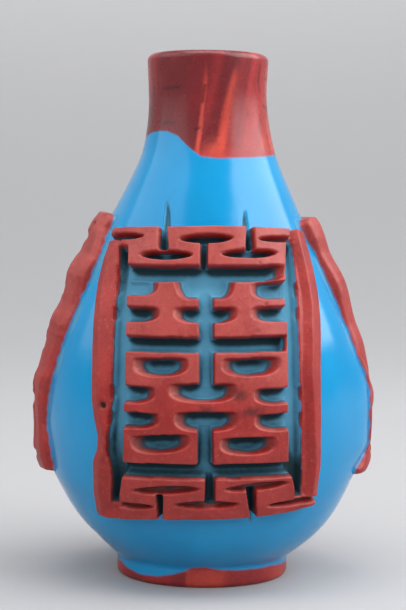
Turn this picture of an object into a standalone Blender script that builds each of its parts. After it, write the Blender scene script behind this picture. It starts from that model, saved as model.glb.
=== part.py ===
# Snuff bottle of overlay glass: a pear-shaped, slightly flattened bottle of turquoise glass,
# with carved panels of red glass standing proud of its four sides, a red neck and a red foot.
# Metres, +Z up. The bottle stands on the origin, and its front faces -Y.

import math

import bmesh
import bpy
import numpy as np
from mathutils import Vector

MM = 0.001

# The bottle as a whole
HEIGHT = 70.0 * MM
BELLY_WIDTH = 42.8 * MM
BELLY_DEPTH = 37.6 * MM
BELLY_LEVEL = 22.5 * MM

# Neck and mouth
NECK_WIDTH = 15.86 * MM
NECK_LENGTH = 6.5 * MM
LIP_WIDTH = 16.2 * MM
LIP_ROUNDING = 0.9 * MM
MOUTH_BORE = 6.8 * MM
MOUTH_ROUNDING = 0.4 * MM

# Foot
FOOT_WIDTH = 23.1 * MM
FOOT_DEPTH = 20.9 * MM
FOOT_HEIGHT = 2.6 * MM
FOOT_ROUNDING = 0.7 * MM
FOOT_RING = 2.6 * MM
FOOT_HOLLOW = 0.9 * MM

# Glass of the vessel: its wall at the belly, and its base measured from the ground
WALL = 3.2 * MM
BASE_LEVEL = 5.6 * MM

# The pear's outline, as shares of the way from foot to belly and from belly to neck,
# each with the share of the widening that is reached there
FOOT_TO_BELLY = ((0.156, 0.398), (0.437, 0.789), (0.72, 0.96))
BELLY_TO_NECK = ((0.207, 0.911), (0.451, 0.629), (0.685, 0.284), (0.849, 0.0757))

# Red relief: its height above the wall, what is left of it in the cuts, and its root in the wall
RELIEF = 1.8 * MM
CUT_FLOOR = 0.25 * MM
ROOT = 0.5 * MM
EDGE_HEIGHT = 0.9 * MM
EDGE_SLOPE = 0.7 * MM

# Front and back panels, measured along the wall
PANEL_WIDTH = 29.2 * MM
PANEL_TOP_WIDTH = 25.8 * MM
PANEL_LOW = 11.1 * MM
PANEL_HIGH = 46.7 * MM
PANEL_CORNER = 0.8 * MM
TAPER_FROM = 0.8  # share of a panel's height above which it narrows

# Side panels
SIDE_WIDTH = 14.8 * MM
SIDE_TOP_WIDTH = 13.6 * MM
SIDE_LOW = 14.2 * MM
SIDE_HIGH = 48.4 * MM

# Cuts: how far their ends slope in, how far their sides do, and their corners
CUT_END_SLOPE = 0.7 * MM
CUT_SIDE_SLOPE = 0.2 * MM
CUT_CORNER = 0.35 * MM
CUTTER_OVERRUN = 0.5 * MM

# Fineness of the faceted surface
SEGMENTS = 48
BODY_RINGS = 16
HOLLOW_RINGS = 11
BEND_STEP = 4.3 * MM

# The front fret's cuts on one half of the panel: from the middle, to, from below, to, as
# shares of half the panel's width and of its height. A cut from 0 runs across the middle.
FRONT_FRET = (
    (0.67, 0.80, 0.05, 0.95),   # groove beside the edge bar
    (0.00, 0.06, 0.05, 0.37),   # channel up the middle, below the cross bar
    (0.00, 0.06, 0.42, 0.86),   # channel up the middle, above it
    (0.00, 0.26, 0.035, 0.070),  # foot band, middle
    (0.46, 0.78, 0.035, 0.068),  # foot band, side
    (0.34, 0.40, -0.04, 0.085),  # upright nick through the foot band
    (0.13, 0.62, 0.093, 0.124),  # long slot of the foot band
    (0.00, 0.74, 0.144, 0.192),  # channel above the foot band
    (0.12, 0.60, 0.232, 0.286),  # lower block, bottom slot
    (0.00, 0.27, 0.310, 0.366),  # lower block, middle
    (0.39, 0.74, 0.310, 0.362),  # lower block, side
    (0.00, 0.28, 0.402, 0.460),  # upper block, middle
    (0.40, 0.74, 0.398, 0.450),  # upper block, side
    (0.13, 0.61, 0.486, 0.544),  # upper block, top slot
    (0.00, 0.74, 0.571, 0.619),  # channel above the blocks
    (0.00, 0.255, 0.669, 0.718),  # upper figure, inner slot
    (0.37, 0.74, 0.669, 0.718),  # upper figure, outer slot
    (0.37, 0.74, 0.760, 0.830),  # beside the upper figure's head
    (0.00, 0.245, 0.760, 0.830),  # between the two heads
    (0.00, 0.74, 0.811, 0.859),  # open field below the head band
    (0.10, 0.56, 0.886, 0.914),  # head band, lower slot
    (0.00, 0.20, 0.940, 0.966),  # head band, middle slot
    (0.42, 0.78, 0.938, 0.962),  # head band, side slot
    (0.30, 0.37, 0.920, 1.04),   # upright nick through the head band
)

# The back keeps the main lines of the front
BACK_FRET = (
    (0.67, 0.80, 0.05, 0.95),
    (0.00, 0.06, 0.16, 0.37),
    (0.00, 0.06, 0.42, 0.86),
    (0.13, 0.62, 0.055, 0.100),
    (0.00, 0.74, 0.144, 0.192),
    (0.12, 0.60, 0.232, 0.286),
    (0.00, 0.27, 0.310, 0.366),
    (0.39, 0.74, 0.310, 0.362),
    (0.00, 0.28, 0.402, 0.460),
    (0.40, 0.74, 0.398, 0.450),
    (0.13, 0.61, 0.486, 0.544),
    (0.00, 0.74, 0.571, 0.619),
    (0.00, 0.60, 0.669, 0.718),
    (0.00, 0.74, 0.790, 0.850),
    (0.13, 0.62, 0.905, 0.945),
)

SIDE_FRET = (
    (0.48, 0.66, 0.06, 0.94),   # groove beside the edge bar
    (0.00, 0.55, 0.05, 0.085),  # below the lowest block
    (0.00, 0.24, 0.14, 0.19),   # slot in the lowest block
    (0.00, 0.55, 0.245, 0.295),
    (0.00, 0.26, 0.350, 0.400),
    (0.00, 0.55, 0.455, 0.505),
    (0.00, 0.26, 0.560, 0.610),
    (0.00, 0.55, 0.665, 0.710),
    (0.00, 0.24, 0.765, 0.810),
    (0.00, 0.55, 0.870, 0.910),
)

FRONT, RIGHT, BACK, LEFT = range(4)


def clear_scene():
    for old in list(bpy.data.objects):
        bpy.data.objects.remove(old, do_unlink=True)


def smooth_value(knots, values, at):
    # Cubic curve through the knots, with the slope at each knot taken from its neighbours
    slopes = np.gradient(values, knots)
    at = min(max(at, knots[0]), knots[-1])
    i = min(max(int(np.searchsorted(knots, at)) - 1, 0), len(knots) - 2)
    span = knots[i + 1] - knots[i]
    t = (at - knots[i]) / span
    start = (2 * t**3 - 3 * t**2 + 1) * values[i] + (t**3 - 2 * t**2 + t) * span * slopes[i]
    end = (3 * t**2 - 2 * t**3) * values[i + 1] + (t**3 - t**2) * span * slopes[i + 1]
    return start + end


def pear_outline(foot, belly, neck, lip):
    # Levels and half widths that one side of the pear passes through, from the foot's top up
    neck_level = HEIGHT - NECK_LENGTH
    points = [(FOOT_HEIGHT, foot)]
    for share, widened in FOOT_TO_BELLY:
        points.append((FOOT_HEIGHT + share * (BELLY_LEVEL - FOOT_HEIGHT), foot + widened * (belly - foot)))
    points.append((BELLY_LEVEL, belly))
    for share, widened in BELLY_TO_NECK:
        points.append((BELLY_LEVEL + share * (neck_level - BELLY_LEVEL), neck + widened * (belly - neck)))
    points.append((neck_level, neck))
    points.append((HEIGHT - LIP_ROUNDING, lip))
    levels, widths = zip(*points)
    return np.array(levels), np.array(widths)


WIDTH_OUTLINE = pear_outline(FOOT_WIDTH / 2, BELLY_WIDTH / 2, NECK_WIDTH / 2, LIP_WIDTH / 2)
DEPTH_OUTLINE = pear_outline(FOOT_DEPTH / 2, BELLY_DEPTH / 2, NECK_WIDTH / 2, LIP_WIDTH / 2)


def half_axes(level):
    return smooth_value(*WIDTH_OUTLINE, level), smooth_value(*DEPTH_OUTLINE, level)


def inner_half_axes(level):
    # The wall is measured square to the surface, so it takes more of the width where that slopes.
    # Above the belly it grows with the narrowing, to the thick neck around the straight bore.
    step = 0.1 * MM
    neck = NECK_WIDTH / 2
    neck_wall = neck - MOUTH_BORE / 2
    inner = []
    for here, above, belly in zip(half_axes(level), half_axes(level + step), (BELLY_WIDTH / 2, BELLY_DEPTH / 2)):
        narrowed = (belly - here) / (belly - neck) if level > BELLY_LEVEL else 0.0
        wall = WALL + (neck_wall - WALL) * narrowed
        slant = math.hypot(1.0, (above - here) / step)
        inner.append(max(here - wall * slant, MOUTH_BORE / 2))
    return tuple(inner)


def rounded_corner(outer, inner, start, end, steps):
    # Quarter round between two rings, turning from upright to level
    rings = []
    for k in range(steps + 1):
        turn = math.pi / 2 * k / steps
        along = 1 - math.cos(turn)
        rise = math.sin(turn)
        rings.append((outer[0] + (inner[0] - outer[0]) * along,
                      outer[1] + (inner[1] - outer[1]) * along,
                      start + (end - start) * rise))
    return rings


def vessel_rings():
    # Rings (half width, half depth, level) from the middle of the foot's hollow, up the outside,
    # over the lip and down the inside to the middle of the base
    foot = (FOOT_WIDTH / 2, FOOT_DEPTH / 2)
    foot_flat = tuple(r - FOOT_ROUNDING for r in foot)
    hollow = tuple(r - FOOT_RING for r in foot)
    lip = (LIP_WIDTH / 2, LIP_WIDTH / 2)
    lip_flat = tuple(r - LIP_ROUNDING for r in lip)
    bore = (MOUTH_BORE / 2, MOUTH_BORE / 2)
    bore_flat = tuple(r + MOUTH_ROUNDING for r in bore)
    neck_level = HEIGHT - NECK_LENGTH

    rings = [(*hollow, FOOT_HOLLOW), (*hollow, 0.0)]
    rings += reversed(rounded_corner(foot, foot_flat, FOOT_ROUNDING, 0.0, 2))
    for k in range(BODY_RINGS + 1):
        # Closer together near the foot, where the outline turns fastest
        level = FOOT_HEIGHT + (neck_level - FOOT_HEIGHT) * (k / BODY_RINGS) ** 1.25
        rings.append((*half_axes(level), level))
    rings += rounded_corner(lip, lip_flat, HEIGHT - LIP_ROUNDING, HEIGHT, 2)
    rings += reversed(rounded_corner(bore, bore_flat, HEIGHT - MOUTH_ROUNDING, HEIGHT, 1))

    # From the bottom of the straight bore the hollow follows the pear, closer together near the base
    for k in range(HOLLOW_RINGS + 1):
        level = neck_level + (BASE_LEVEL - neck_level) * math.sin(math.pi / 2 * k / HOLLOW_RINGS)
        rings.append((*inner_half_axes(level), level))
    return rings


def mesh_of(name, verts, faces):
    mesh = bpy.data.meshes.new(name)
    mesh.from_pydata(verts, [], faces)
    mesh.update()
    return mesh


def add_object(name, mesh):
    thing = bpy.data.objects.new(name, mesh)
    bpy.context.scene.collection.objects.link(thing)
    return thing


def make_guide(thing):
    thing.hide_render = True
    thing.display_type = 'WIRE'


def turned_mesh(name, rings, segments):
    # Oval rings joined one to the next, closed by a flat face at each end
    verts = []
    for half_width, half_depth, level in rings:
        for k in range(segments):
            turn = 2 * math.pi * k / segments
            verts.append((half_width * math.sin(turn), -half_depth * math.cos(turn), level))
    faces = [tuple(range(segments))[::-1]]
    for r in range(len(rings) - 1):
        for k in range(segments):
            after = (k + 1) % segments
            faces.append((r * segments + k, r * segments + after,
                          (r + 1) * segments + after, (r + 1) * segments + k))
    last = (len(rings) - 1) * segments
    faces.append(tuple(last + k for k in range(segments)))
    return mesh_of(name, verts, faces)


def stacked_mesh(name, outlines):
    # Outlines of as many corners, one above the other, from the lowest up
    count = len(outlines[0][0])
    verts = [(u, v, h) for corners, h in outlines for u, v in corners]
    faces = [tuple(range(count))[::-1]]
    for layer in range(len(outlines) - 1):
        for k in range(count):
            after = (k + 1) % count
            faces.append((layer * count + k, layer * count + after,
                          (layer + 1) * count + after, (layer + 1) * count + k))
    top = (len(outlines) - 1) * count
    faces.append(tuple(top + k for k in range(count)))
    return mesh_of(name, verts, faces)


def box_outline(left, right, low, high):
    # Rectangle with its corners cut off, counterclockwise
    corner = min(CUT_CORNER, 0.3 * (right - left), 0.3 * (high - low))
    return [(left + corner, low), (right - corner, low), (right, low + corner), (right, high - corner),
            (right - corner, high), (left + corner, high), (left, high - corner), (left, low + corner)]


def panel_outline(width, top_width, low, high, inset):
    # Upright panel that narrows towards its top, counterclockwise
    side = width / 2 - inset
    top = top_width / 2 - inset
    foot = low + inset
    head = high - inset
    shoulder = low + TAPER_FROM * (high - low)
    left = [(-top + PANEL_CORNER, head), (-top, head - PANEL_CORNER), (-side, shoulder),
            (-side, foot + PANEL_CORNER), (-side + PANEL_CORNER, foot)]
    return left + [(-u, v) for u, v in reversed(left)]


def cut_mesh(left, right, low, high):
    # One stroke of the wheel: its ends slope in along its length, its sides hardly do
    lengthwise = right - left > high - low
    slope_u = CUT_END_SLOPE if lengthwise else CUT_SIDE_SLOPE
    slope_v = CUT_SIDE_SLOPE if lengthwise else CUT_END_SLOPE
    # The stroke's sides are straight, so above the relief they go on widening
    over = CUTTER_OVERRUN / (RELIEF - CUT_FLOOR)
    inner = box_outline(left + slope_u, right - slope_u, low + slope_v, high - slope_v)
    outer = box_outline(left - over * slope_u, right + over * slope_u,
                        low - over * slope_v, high + over * slope_v)
    return stacked_mesh("cut", [(inner, CUT_FLOOR), (outer, RELIEF + CUTTER_OVERRUN)])


def carved_plate(width, top_width, low, high, fret):
    # The panel laid out flat: X across, Y up the bottle, Z out of the wall
    full = panel_outline(width, top_width, low, high, 0.0)
    top = panel_outline(width, top_width, low, high, EDGE_SLOPE)
    plate = add_object("plate", stacked_mesh("plate", [(full, -ROOT), (full, EDGE_HEIGHT), (top, RELIEF)]))
    cuts = []
    for inner, outer, below, above in fret:
        spans = [(-outer, outer)] if inner == 0.0 else [(inner, outer), (-outer, -inner)]
        for start, end in spans:
            cut = add_object("cut", cut_mesh(start * width / 2, end * width / 2,
                                             low + below * (high - low), low + above * (high - low)))
            make_guide(cut)
            carve = plate.modifiers.new("carve", 'BOOLEAN')
            carve.operation = 'DIFFERENCE'
            carve.solver = 'EXACT'
            carve.object = cut
            cuts.append(cut)
    carved = bpy.data.meshes.new_from_object(plate.evaluated_get(bpy.context.evaluated_depsgraph_get()))
    for used in cuts + [plate]:
        bpy.data.objects.remove(used, do_unlink=True)
    return carved


def wall_point(across, level, out, facing):
    # A point of the flat panel laid on the wall: across is measured around the wall from the
    # middle of the side that the panel faces, and out along the wall's normal
    half_width, half_depth = half_axes(level)
    radius = half_width if facing in (FRONT, BACK) else half_depth
    turn = facing * math.pi / 2 + across / radius
    step = 0.05 * MM
    wider, deeper = half_axes(level + step)
    spot = Vector((half_width * math.sin(turn), -half_depth * math.cos(turn), level))
    around = Vector((half_width * math.cos(turn), half_depth * math.sin(turn), 0.0))
    upward = Vector(((wider - half_width) * math.sin(turn), -(deeper - half_depth) * math.cos(turn), step))
    return spot + around.cross(upward).normalized() * out


def bent_panel(name, facing, width, top_width, low, high, fret):
    carved = carved_plate(width, top_width, low, high, fret)
    work = bmesh.new()
    work.from_mesh(carved)
    bmesh.ops.remove_doubles(work, verts=work.verts[:], dist=0.005 * MM)
    # Lines across the flat panel, so that it can follow the wall
    columns = max(2, round(width / BEND_STEP))
    rows = max(2, round((high - low) / BEND_STEP))
    lines = [((width * (k / columns - 0.5), 0, 0), (1, 0, 0)) for k in range(1, columns)]
    lines += [((0, low + (high - low) * k / rows, 0), (0, 1, 0)) for k in range(1, rows)]
    for place, square_to in lines:
        geometry = work.verts[:] + work.edges[:] + work.faces[:]
        bmesh.ops.bisect_plane(work, geom=geometry, dist=0.002 * MM, plane_co=place, plane_no=square_to)
    bmesh.ops.triangulate(work, faces=work.faces[:])
    for vert in work.verts:
        vert.co = wall_point(*vert.co, facing)
    bmesh.ops.recalc_face_normals(work, faces=work.faces[:])
    work.to_mesh(carved)
    work.free()
    panel = add_object(name, carved)
    make_guide(panel)
    return panel


def glass_material(name, colour, roughness):
    material = bpy.data.materials.new(name)
    material.use_nodes = True
    shader = material.node_tree.nodes["Principled BSDF"]
    shader.inputs["Base Color"].default_value = (*colour, 1.0)
    shader.inputs["Roughness"].default_value = roughness
    shader.inputs["Metallic"].default_value = 0.0
    material.diffuse_color = (*colour, 1.0)
    return material


def build_bottle():
    bottle = add_object("overlay_glass_bottle", turned_mesh("overlay_glass_bottle", vessel_rings(), SEGMENTS))
    bottle.data.materials.append(glass_material("turquoise_glass", (0.03, 0.24, 0.42), 0.12))
    front = (PANEL_WIDTH, PANEL_TOP_WIDTH, PANEL_LOW, PANEL_HIGH)
    side = (SIDE_WIDTH, SIDE_TOP_WIDTH, SIDE_LOW, SIDE_HIGH)
    panels = [bent_panel("front_panel", FRONT, *front, FRONT_FRET),
              bent_panel("right_panel", RIGHT, *side, SIDE_FRET),
              bent_panel("back_panel", BACK, *front, BACK_FRET),
              bent_panel("left_panel", LEFT, *side, SIDE_FRET)]
    for panel in panels:
        fuse = bottle.modifiers.new(panel.name, 'BOOLEAN')
        fuse.operation = 'UNION'
        fuse.solver = 'EXACT'
        fuse.object = panel
    bottle.data.shade_smooth()
    bottle.data.set_sharp_from_angle(angle=math.radians(32))
    return bottle


clear_scene()
build_bottle()
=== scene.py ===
# Snuff bottle of overlay glass: a turquoise pear with carved red panels, a red neck and a red foot.
# Sizes are in millimetres until a mesh or a light is made, and in metres from there on.

import math

import bpy
import numpy as np
from mathutils import Euler, Matrix, Vector


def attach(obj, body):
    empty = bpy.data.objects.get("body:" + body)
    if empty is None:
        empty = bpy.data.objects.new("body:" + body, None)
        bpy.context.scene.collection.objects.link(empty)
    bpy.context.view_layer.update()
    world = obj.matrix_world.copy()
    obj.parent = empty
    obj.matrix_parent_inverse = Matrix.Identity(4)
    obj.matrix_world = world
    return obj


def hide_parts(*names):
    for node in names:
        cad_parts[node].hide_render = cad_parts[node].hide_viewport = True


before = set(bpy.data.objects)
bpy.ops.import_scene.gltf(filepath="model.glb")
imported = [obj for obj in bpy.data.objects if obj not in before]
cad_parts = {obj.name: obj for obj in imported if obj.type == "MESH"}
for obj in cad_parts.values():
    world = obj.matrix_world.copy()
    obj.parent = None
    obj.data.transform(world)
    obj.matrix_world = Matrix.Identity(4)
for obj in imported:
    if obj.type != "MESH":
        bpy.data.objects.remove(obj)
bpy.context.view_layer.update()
mm = 0.001
front, right, back, left = range(4)

# The pear itself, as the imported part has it
bottle = {
    "height": 70.0, "bellyWidth": 42.8, "bellyDepth": 37.6, "bellyLevel": 22.5,
    "neckWidth": 15.86, "neckLength": 6.5, "lipWidth": 16.2, "lipRounding": 0.9,
    "mouthBore": 6.8, "mouthRounding": 0.4,
    "footWidth": 23.1, "footDepth": 20.9, "footHeight": 2.6, "footRounding": 0.7,
    "footRing": 2.6, "footHollow": 0.9, "wall": 3.2, "baseLevel": 5.6,
    # shares of the way up and of the widening, from foot to belly and from belly to neck
    "footToBelly": ((0.156, 0.398), (0.437, 0.789), (0.72, 0.96)),
    "bellyToNeck": ((0.207, 0.911), (0.451, 0.629), (0.685, 0.284), (0.849, 0.0757)),
    "segments": 256, "rowStep": 0.4, "innerRowStep": 1.2, "middleGap": 0.05,
    # rounding of the foot's hollow and of the ring round it, and how dull the inside is
    "hollowRounding": 0.35, "ringRounding": 0.25, "innerDull": 0.35,
    # rows in each stretch of the outline
    "rows": {"hollow": 14, "hollowCorner": 4, "ringCorner": 4, "ring": 5, "footCorner": 7, "foot": 6,
             "lipCorner": 10, "lip": 6, "boreCorner": 6, "bore": 5, "floor": 6},
    # hand-cut waves: share, how many go round, turn for each mm up, start; where they set in and end
    "unevenness": 0.035, "waves": ((0.45, 3, 0.21, 0.0), (0.3, 5, -0.34, 1.0), (0.25, 8, 0.5, 2.0)),
    "wavesSetIn": (3.0, 7.0), "wavesEnd": (69.0, 64.0),
    # where the glass was left fuller or leaner: turn from the front, spread, levels, heights
    "swells": (
        (80.0, 13.0, (13.0, 16.0, 18.5, 26.0, 29.0, 32.0, 35.0), (0.0, 0.55, 1.05, 1.05, 0.7, 0.2, 0.0)),
        (-90.0, 40.0, (2.6, 5.5, 9.0, 12.0, 14.0), (0.0, -0.6, -0.45, -0.3, 0.0)),
        (-90.0, 45.0, (48.0, 52.0, 57.0, 61.0, 65.0), (0.0, -0.2, -0.35, -0.2, 0.0)),
        (90.0, 45.0, (48.0, 54.0, 58.0, 62.0, 66.0), (0.0, 0.1, 0.15, 0.1, 0.0)),
    ),
    # under the panels the body is kept this far down, so that no cut meets it
    "bedDepth": 0.9, "bedInset": 0.3, "bedRun": 0.6, "nickBed": 1.15,
}

# Lower edge of the neck's red glass and upper edge of the foot's, by turn from the front
redEnds = {
    "neckTurns": (-180, -160, -130, -100, -80, -62, -50, -40, -28, -16, -6, 8, 34, 54, 68, 85, 110,
                  140, 165, 180),
    "neckLevels": (57.0, 56.9, 57.8, 58.5, 58.65, 59.2, 59.3, 59.25, 58.6, 57.03, 55.93, 55.75, 55.93, 56.15,
                   56.4, 56.6, 57.2, 57.9, 57.2, 57.0),
    "footTurns": (-180, -150, -120, -90, -72, -60, -46, -32, -21, -13, -8, 0, 8, 23, 38, 51, 70, 90,
                  120, 150, 180),
    "footLevels": (2.5, 2.0, 2.2, 2.3, 2.2, 1.7, 1.31, 1.46, 1.86, 2.42, 2.93, 3.13, 2.72, 2.51, 2.42, 2.43,
                   2.15, 2.2, 2.6, 2.9, 2.5),
    "ringRed": 1.4,  # how far the red reaches in under the foot
    "lipRed": 6.3,  # radius outside which the lip's top is red
}

# How the neck's red is drawn out
neckGlass = {
    # bright streaks: turn and level of the lower end, then of the upper, spread in degrees, strength at each
    "streaks": (
        (-10.0, 56.0, -2.5, 67.5, 2.6, 0.95, 0.5), (7.0, 56.0, 27.0, 68.0, 5.5, 1.0, 0.6),
        (1.0, 55.5, 7.0, 60.0, 13.0, 1.1, 0.2), (62.0, 56.0, 72.0, 69.0, 17.0, 0.62, 0.5),
        (104.0, 56.5, 118.0, 67.0, 6.0, 0.8, 0.3), (142.0, 57.0, 150.0, 69.0, 3.5, 0.9, 0.6),
        (176.0, 56.5, 192.0, 66.0, 8.0, 0.8, 0.2), (-140.0, 57.0, -126.0, 68.0, 5.0, 0.9, 0.5),
        (-100.0, 58.0, -92.0, 66.0, 9.0, 0.5, 0.2),
    ),
    # fine dark lines: turn and level of each point along them
    "threads": (
        ((-48, 65.1), (-40, 65.05), (-29, 65.2)), ((-47, 60.4), (-40, 60.65), (-33, 60.5)),
        ((57, 68.3), (55.5, 66.5), (57.5, 65.0)), ((-4.3, 65.4), (-6.2, 63.2)),
        ((70, 66.7), (78, 66.9)), ((66, 63.2), (71, 62.9), (76, 62.85), (81, 63.1)),
        ((-13, 59.6), (-8, 59.9)), ((130, 66.5), (134, 62.0)), ((-112, 61.0), (-104, 61.6)),
        ((-160, 64.0), (-150, 64.4), (-146, 63.8)),
    ),
    "threadWidth": 0.16, "streakFade": 2.0, "from": 54.0, "rowStep": 0.2,
    # levels over which the dark neck glass sets in; the foot has less of it
    "neckSetsIn": (54.0, 58.0), "footSetsIn": (4.0, 1.0), "footShare": 0.5,
}

# The red relief on all four sides
relief = {
    "height": 1.78, "least": 0.42, "sunk": 0.28, "wallFoot": -0.03, "wallRun": 0.24,
    "edgeRound": 0.3, "edgeDrop": 0.10,
    "swell": 0.03, "swellLength": 7.0, "longShake": 4.0, "shortShake": 1.1, "shortShare": 0.15,
    "upperHalf": 30.0, "leanAbout": 37.5, "edgeBorder": -0.05, "borderWander": 0.1, "borderLength": 1.4,
    "borderPasses": 2,
    # dirt and painted shade: how far walls shelter it, how far under upper edges the painted shadow reaches,
    # where it sets in, how much of it lies in the cuts, and how it darkens low down
    "dirtPasses": 54, "dirtBelow": 0.55, "shelterFrom": 0.2, "around": 0.6, "shelter": 0.65,
    "dullFrom": 0.35, "dullShare": 0.4, "lowDirt": 0.2, "lowDirtAndShadeSetsIn": (28.0, 14.0), "lowDirtAndShadeDepth": 0.3,
    # wear on the tops and painted sheen on the cuts' slopes that face the light, by how deep the glass is
    # cut
    "wornDepths": (0.3, 0.05), "wornBars": 0.3, "fieldHalf": 10.3, "stainWander": 0.5, "stainLength": 0.8,
    "paintedSheen": 2.2, "sheenSlopes": (0.15, 0.8), "sheenDepths": (0.02, 0.1), "sheenInside": 0.8,
    "sheenUp": 0.2, "sheenPasses": 4,
    # the skin of ground round a nick, and what is left out below the ground
    "skin": 0.008, "skinFall": 0.026, "skinFlat": 1.0, "skinReach": 2.6, "skinInside": 0.4,
    "dropBelow": -0.12, "dropInside": 0.2, "dropReach": 2.4,
    # how steep each side of a cut is, and how far above the ground the red layer ends in it
    "slot": {"upper": 6.0, "lower": 1.7, "endCurve": 1.8, "border": 0.62},
    "lens": {"pointed": 0.75, "steep": 5.0, "endCurve": 6.0, "border": 0.6},
    "channel": {"upper": 6.0, "lower": 2.4, "endCurve": 2.0, "border": 0.95},
    "nick": {"narrowing": 0.5, "steep": 5, "tip": 4, "start": 0.5, "dirt": 0.62, "dirtSetsIn": 2.5},
    "groove": {"lowEnd": 0.8, "highEnd": 0.45, "dirtInside": 0.05, "clears": (0.25, 0.9),
               "clearsAt": (16.0, 24.0)},
    # the body beside the panels: how far to look, and how its dull rim varies
    "outside": -9.0, "nearTurn": 1.2, "rimReach": ((14, 0.3), (20, 0.5), (30, 1.0), (48, 1.0)),
    "rimShares": (0.6, 0.4), "rimLength": 5.0, "rimEnds": (50.0, 47.5), "rimFades": (-1.0, -0.4),
}


def smoothValue(knots, values, at):
    # cubic curve through the knots, with the slope at each one taken from its neighbours
    knots, values = np.array(knots, float), np.array(values, float)
    slopes = np.gradient(values, knots)
    at = np.clip(at, knots[0], knots[-1])
    i = np.clip(np.searchsorted(knots, at) - 1, 0, len(knots) - 2)
    span = knots[i + 1] - knots[i]
    t = (at - knots[i]) / span
    start = (2 * t**3 - 3 * t**2 + 1) * values[i] + (t**3 - 2 * t**2 + t) * span * slopes[i]
    return start + (3 * t**2 - 2 * t**3) * values[i + 1] + (t**3 - t**2) * span * slopes[i + 1]


def smoothStep(start, end, at):
    t = np.clip((at - start) / (end - start), 0.0, 1.0)
    return t * t * (3 - 2 * t)


def pearOutline(foot, belly, neck, lip):
    neckLevel = bottle["height"] - bottle["neckLength"]
    points = [(bottle["footHeight"], foot)]
    for share, widened in bottle["footToBelly"]:
        points.append((bottle["footHeight"] + share * (bottle["bellyLevel"] - bottle["footHeight"]),
                       foot + widened * (belly - foot)))
    points.append((bottle["bellyLevel"], belly))
    for share, widened in bottle["bellyToNeck"]:
        points.append((bottle["bellyLevel"] + share * (neckLevel - bottle["bellyLevel"]),
                       neck + widened * (belly - neck)))
    points += [(neckLevel, neck), (bottle["height"] - bottle["lipRounding"], lip)]
    return tuple(zip(*points))


widthOutline = pearOutline(bottle["footWidth"] / 2, bottle["bellyWidth"] / 2,
                           bottle["neckWidth"] / 2, bottle["lipWidth"] / 2)
depthOutline = pearOutline(bottle["footDepth"] / 2, bottle["bellyDepth"] / 2,
                           bottle["neckWidth"] / 2, bottle["lipWidth"] / 2)


def halfAxes(level):
    return smoothValue(*widthOutline, level), smoothValue(*depthOutline, level)


def innerHalfAxes(level):
    # the wall is square to the surface, and grows above the belly to the thick neck
    step = 0.1
    neck = bottle["neckWidth"] / 2
    neckWall = neck - bottle["mouthBore"] / 2
    inner = []
    bellies = (bottle["bellyWidth"] / 2, bottle["bellyDepth"] / 2)
    for here, above, belly in zip(halfAxes(level), halfAxes(level + step), bellies):
        narrowed = np.where(level > bottle["bellyLevel"], (belly - here) / (belly - neck), 0.0)
        wall = bottle["wall"] + (neckWall - bottle["wall"]) * narrowed
        inner.append(np.maximum(here - wall * np.hypot(1.0, (above - here) / step), bottle["mouthBore"] / 2))
    return inner


def groundHeight(turn, level):
    # what the body's glass stands above the true pear: hand-cut waves and a few swells
    waves = sum(share * np.sin(times * turn + twist * level + start)
                for share, times, twist, start in bottle["waves"])
    height = bottle["unevenness"] * waves * smoothStep(*bottle["wavesSetIn"], level)
    height = height * smoothStep(*bottle["wavesEnd"], level)
    around = (np.degrees(turn) + 180.0) % 360.0 - 180.0
    for place, spread, levels, heights in bottle["swells"]:
        height = height + np.exp(-((around - place) / spread) ** 2) * np.interp(level, levels, heights)
    return height


def wallSpot(turn, level, out):
    # point of the pear at that turn from the front, moved out along the wall's normal
    halfWidth, halfDepth = halfAxes(level)
    step = 0.05
    wider, deeper = halfAxes(level + step)
    sine, cosine = np.sin(turn), np.cos(turn)
    spot = np.stack([halfWidth * sine, -halfDepth * cosine, level + 0 * turn], -1)
    around = np.stack([halfWidth * cosine, halfDepth * sine, 0 * spot[..., 2]], -1)
    upward = np.stack([(wider - halfWidth) * sine, -(deeper - halfDepth) * cosine,
                       step + 0 * spot[..., 2]], -1)
    normal = np.cross(around, upward)
    normal /= np.linalg.norm(normal, axis=-1, keepdims=True)
    return spot + normal * np.asarray(out)[..., None]


def panelTurn(across, level, facing):
    halfWidth, halfDepth = halfAxes(level)
    return facing * math.pi / 2 + across / (halfWidth if facing in (front, back) else halfDepth)


def ripple(u, v, size, seed):
    # gentle random waves of about that length, from -1 to 1
    dice, waves = np.random.default_rng(seed), 7
    total = 0.0 * u
    for _ in range(waves):
        way = dice.uniform(0, 2 * math.pi)
        length = size * dice.uniform(0.7, 1.5)
        phase = dice.uniform(0, 2 * math.pi)
        total = total + np.sin((u * math.cos(way) + v * math.sin(way)) * 2 * math.pi / length + phase)
    return total / (0.6 * waves)


def softened(field, passes):
    # takes the sharpness off edges, as wear does
    for _ in range(passes):
        for axis in (0, 1):
            before, after = np.roll(field, 1, axis), np.roll(field, -1, axis)
            field = 0.5 * field + 0.25 * (before + after)
    return field


def addPiece(name, points, faces, marks):
    mesh = bpy.data.meshes.new(name)
    mesh.from_pydata((points * mm).tolist(), [], faces)
    for key in ("red", "cut", "stain", "wearAndSheen", "neck", "streak", "thread"):
        values = np.ravel(marks.get(key, np.zeros(len(points)))).astype(np.float32)
        mesh.attributes.new(key, "FLOAT", "POINT").data.foreach_set("value", values)
    mesh.shade_smooth()
    mesh.validate()
    mesh.materials.append(overlay)
    piece = bpy.data.objects.new(name, mesh)
    bpy.context.scene.collection.objects.link(piece)
    return piece


class Port:
    # one output of a shader node; arithmetic on it adds the Math nodes
    def __init__(self, recipe, socket):
        self.recipe, self.socket = recipe, socket

    def math(self, operation, *values):
        return self.recipe.node("ShaderNodeMath", {"operation": operation}, dict(enumerate(values)))

    def __add__(self, other):
        return self.math("ADD", self, other)

    def __sub__(self, other):
        return self.math("SUBTRACT", self, other)

    def __rsub__(self, other):
        return self.math("SUBTRACT", other, self)

    def __mul__(self, other):
        return self.math("MULTIPLY", self, other)

    __radd__, __rmul__ = __add__, __mul__


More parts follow.
